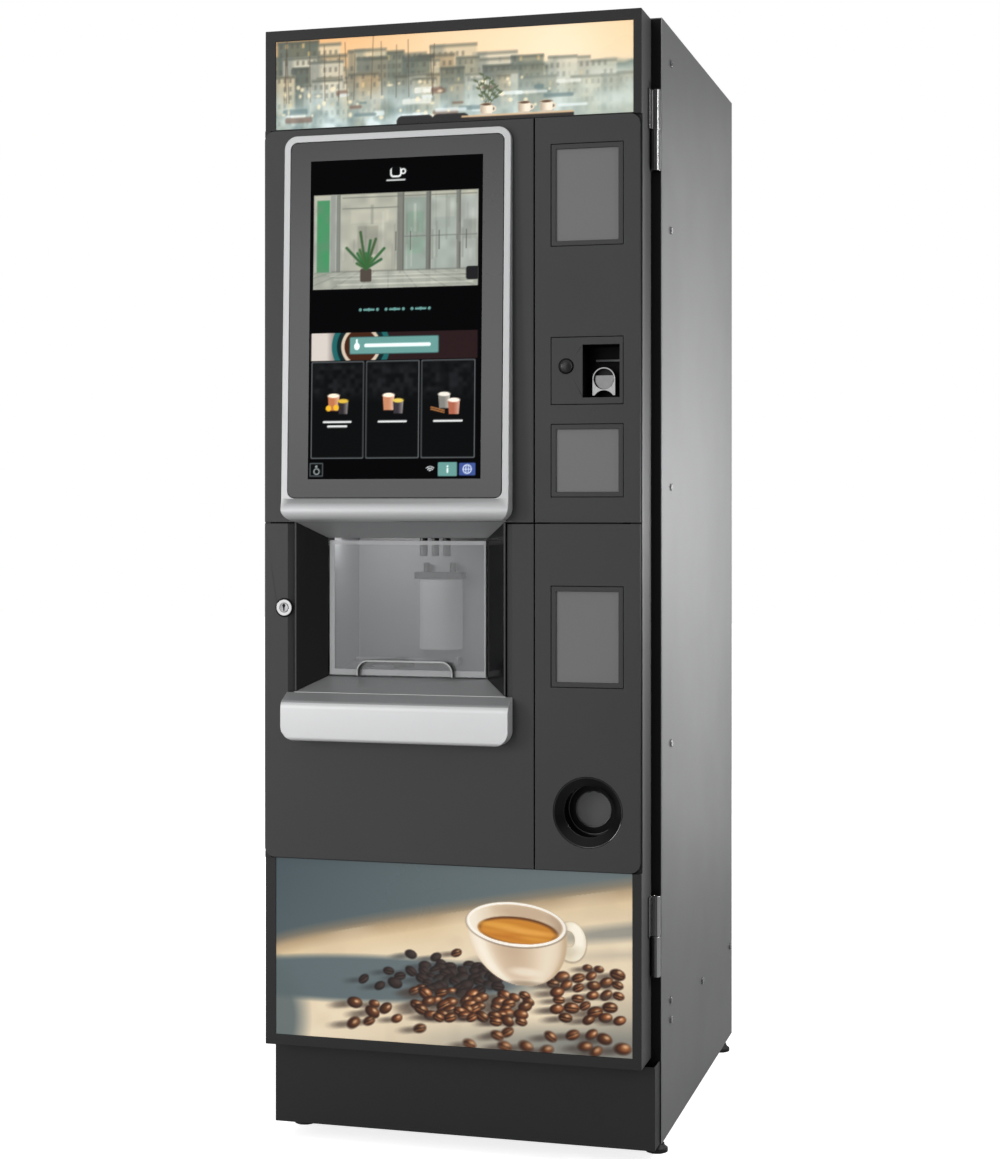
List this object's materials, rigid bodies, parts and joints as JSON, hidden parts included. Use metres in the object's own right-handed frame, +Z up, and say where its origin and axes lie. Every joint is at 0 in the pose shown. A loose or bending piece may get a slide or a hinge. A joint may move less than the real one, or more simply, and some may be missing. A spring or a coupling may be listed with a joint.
{
  "type": "hot coffee vending machine",
  "caption": "Floor-standing hot drinks vending machine with a portrait touch screen, a cup recess behind a clear hatch, coin gear and a hinged service door",
  "frame": {"origin": "on the floor at the centre of the bounding box's footprint", "axes": "+Z up, -Y out of the door towards the customer, +X to the customer's right"},
  "size_m": [0.606, 0.78, 1.7],
  "materials": {
    "cabinet_paint": "satin powder coat over sheet steel",
    "black_paint": "fine-textured black powder coat",
    "zinc_sheet": "galvanised sheet steel",
    "fascia_plastic": "lightly grained dark grey moulding",
    "plate_plastic": "dark grey blanking plates",
    "black_gloss": "glossy black moulding",
    "black_matte": "matte black moulding",
    "bezel_silver": "silver paint over a moulded trim",
    "tray_silver": "silver paint over a moulded tray",
    "screen_glass": "toughened cover glass with a dark printed border",
    "display": "lit portrait display panel in a steel can",
    "header_light": "backlit printed panel",
    "lower_light": "backlit printed panel",
    "clear_plastic": "clear moulded hatch",
    "chrome": "polished plating",
    "steel": "bright zinc-plated steel",
    "gasket_rubber": "soft foam seal",
    "foot_black": "ribbed black foot over a steel stem",
    "cup_white": "stacked white cups",
    "grey_plastic": "grey moulding",
    "white_plastic": "white food-safe moulding",
    "smoke_plastic": "tinted hopper",
    "boiler_steel": "brushed stainless steel",
    "motor_metal": "cast and turned motor cases",
    "flap_grey": "grey coin flap"
  },
  "bodies": {
    "cabinet": {"left_side_panel": "cabinet_paint", "right_side_panel": "cabinet_paint", "rear_panel": "cabinet_paint", "top_panel": "cabinet_paint", "base_tray": "zinc_sheet", "front_frame": "black_paint", "door_gasket": "gasket_rubber", "side_rivets": "steel", "levelling_feet": "foot_black", "kick_plate": "black_paint", "cabinet_hinges": "steel", "hinge_pins": "steel", "shelf_plates": "zinc_sheet", "cup_station": "grey_plastic", "dispensing_spouts": "black_matte", "cup_guide": "boiler_steel", "bean_hopper": "smoke_plastic", "grinder": "motor_metal", "brewer_body": "black_matte", "product_canisters": "white_plastic", "mixing_bowls": "grey_plastic", "mixer_motors": "motor_metal", "boiler": "boiler_steel", "water_inlet_valve": "white_plastic", "mains_inlet": "black_matte", "control_unit": "zinc_sheet"},
    "door": {"door_frame": "black_paint", "fascia_upper_left": "fascia_plastic", "fascia_lower_left": "fascia_plastic", "fascia_upper_right": "fascia_plastic", "fascia_lower_right": "fascia_plastic", "header_light_panel": "header_light", "lower_light_panel": "lower_light", "screen_bezel": "bezel_silver", "touch_glass": "screen_glass", "lcd_module": "display", "recess_hood": "bezel_silver", "recess_walls": "black_gloss", "delivery_tray": "tray_silver", "blank_plates": "plate_plastic", "coin_entry_plate": "plate_plastic", "coin_chute": "chrome", "coin_return_bowl": "black_gloss", "lock_barrel": "chrome", "coin_changer": "grey_plastic", "door_hinges": "steel"},
    "hatch": {"hatch": "clear_plastic"},
    "reject_button": {"reject_button": "black_gloss"},
    "coin_return_flap": {"coin_return_flap": "flap_grey"},
    "lock_plug": {"lock_plug": "chrome"},
    "turret": {"cup_turret": "grey_plastic", "cup_stacks": "cup_white"},
    "cup_carriage": {"cup_carriage": "black_matte"},
    "auger_1": {"auger_1": "white_plastic"},
    "auger_2": {"auger_2": "white_plastic"},
    "auger_3": {"auger_3": "white_plastic"},
    "brewer_piston": {"brewer_piston": "steel"},
    "hopper_shutter": {"hopper_shutter": "black_matte"},
    "hopper_lid": {"bean_hopper_lid": "black_matte"},
    "waste_bin": {"waste_bin": "black_matte"}
  },
  "joints": [
    {"name": "door_hinge", "type": "hinge", "parent": "cabinet", "child": "door", "pos_m": [0.292, -0.293, 0.5], "axis": [0, 0, 1], "range_deg": [0, 110]},
    {"name": "hatch_hinge", "type": "hinge", "parent": "door", "child": "hatch", "pos_m": [-0.086, -0.314, 0.917], "axis": [-1, 0, 0], "range_deg": [0, 80]},
    {"name": "reject_button_press", "type": "slide", "parent": "door", "child": "reject_button", "axis": [0, 1, 0], "range_m": [0, 0.004], "stiffness_N_per_m": 300},
    {"name": "coin_flap_hinge", "type": "hinge", "parent": "door", "child": "coin_return_flap", "pos_m": [0.2045, -0.318, 0.5525], "axis": [1, 0, 0], "range_deg": [0, 55]},
    {"name": "lock_turn", "type": "hinge", "parent": "door", "child": "lock_plug", "pos_m": [-0.2677, -0.36, 0.82], "axis": [0, 1, 0], "range_deg": [0, 90]},
    {"name": "turret_turn", "type": "hinge", "parent": "cabinet", "child": "turret", "pos_m": [-0.15, -0.135, 1], "axis": [0, 0, 1], "continuous": true},
    {"name": "carriage_travel", "type": "slide", "parent": "cabinet", "child": "cup_carriage", "axis": [1, 0, 0], "range_m": [0, 0.075]},
    {"name": "auger_1_turn", "type": "hinge", "parent": "cabinet", "child": "auger_1", "pos_m": [0.008, -0.16, 1.168], "axis": [0, 1, 0], "continuous": true},
    {"name": "auger_2_turn", "type": "hinge", "parent": "cabinet", "child": "auger_2", "pos_m": [0.072, -0.16, 1.168], "axis": [0, 1, 0], "continuous": true},
    {"name": "auger_3_turn", "type": "hinge", "parent": "cabinet", "child": "auger_3", "pos_m": [0.136, -0.16, 1.168], "axis": [0, 1, 0], "continuous": true},
    {"name": "piston_stroke", "type": "slide", "parent": "cabinet", "child": "brewer_piston", "axis": [0, 0, -1], "range_m": [0, 0.08]},
    {"name": "shutter_slide", "type": "slide", "parent": "cabinet", "child": "hopper_shutter", "axis": [0, -1, 0], "range_m": [0, 0.045]},
    {"name": "hopper_lid_lift", "type": "slide", "parent": "cabinet", "child": "hopper_lid", "axis": [0, 0, 1], "range_m": [0, 0.045]},
    {"name": "waste_bin_pull", "type": "slide", "parent": "cabinet", "child": "waste_bin", "axis": [0, -1, 0], "range_m": [0, 0.02]}
  ]
}
